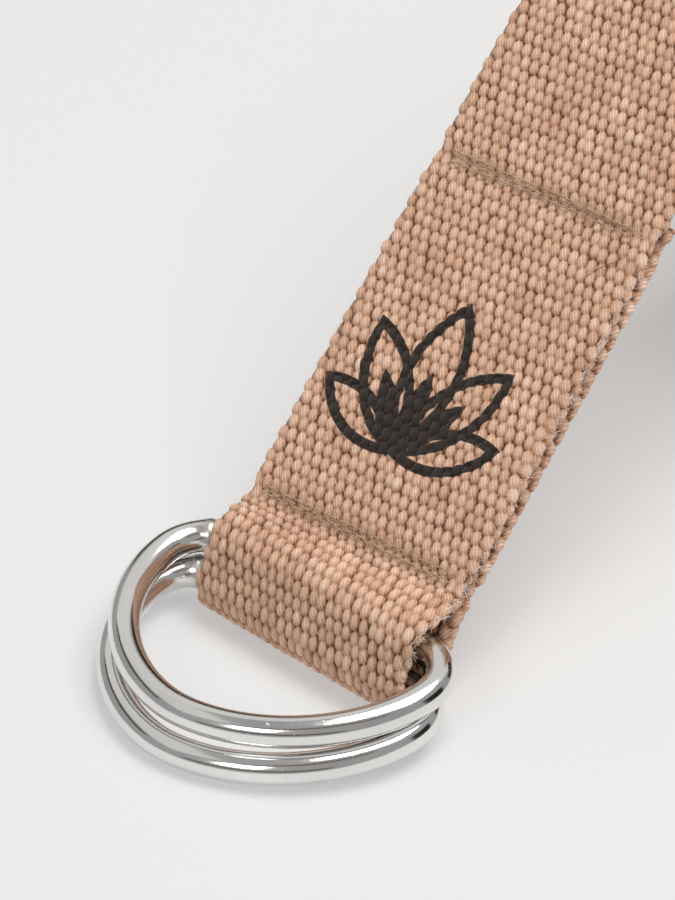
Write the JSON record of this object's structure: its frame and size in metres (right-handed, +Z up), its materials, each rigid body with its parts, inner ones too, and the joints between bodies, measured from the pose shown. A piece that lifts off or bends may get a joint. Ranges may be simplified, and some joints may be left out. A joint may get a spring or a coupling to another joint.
{
  "type": "stretching strap",
  "caption": "Long cotton webbing strap with stacked D-rings sewn into a loop at one end, its spare length rolled up.",
  "frame": {"origin": "middle of the flat underside of the ring loop, on the surface the strap lies on", "axes": "+Z up, +Y from the rings towards the roll, +X across the webbing"},
  "size_m": [0.0538, 0.2298, 0.1027],
  "materials": {
    "webbing_cotton": "heavy plain-weave cotton webbing, dusty pink-beige, matt, with a small black leaf motif printed between the seams",
    "seam_thread": "spun polyester sewing thread, olive tan",
    "ring_chrome": "bright chrome plate over bent and welded steel wire"
  },
  "bodies": {
    "roll": {"webbing_roll": "webbing_cotton", "webbing_lead": "webbing_cotton", "webbing_tail_hem": "webbing_cotton", "tail_hem_needle_thread": "seam_thread", "tail_hem_bobbin_thread": "seam_thread"},
    "tab": {"webbing_tab_front": "webbing_cotton", "webbing_tab_back": "webbing_cotton", "webbing_ring_loop": "webbing_cotton", "ring_seam_needle_thread": "seam_thread", "ring_seam_bobbin_thread": "seam_thread", "end_seam_needle_thread": "seam_thread", "end_seam_bobbin_thread": "seam_thread"},
    "upper_ring": {"ring_upper": "ring_chrome"},
    "lower_ring": {"ring_lower": "ring_chrome"}
  },
  "joints": [
    {"name": "tab_flex", "type": "hinge", "parent": "roll", "child": "tab", "pos_m": [0, 0.05631, 0.05815], "axis": [-1, 0, 0], "range_deg": [-25, 60]},
    {"name": "upper_ring_swing", "type": "hinge", "parent": "tab", "child": "upper_ring", "pos_m": [0.0007, 0.0015, 0.0098], "axis": [-0.9973, 0.0732, 0], "range_deg": [0, 110]},
    {"name": "lower_ring_swing", "type": "hinge", "parent": "tab", "child": "lower_ring", "pos_m": [0.0005, -0.0009, 0.00495], "axis": [-0.9973, 0.0732, 0], "range_deg": [-110, 0]}
  ]
}
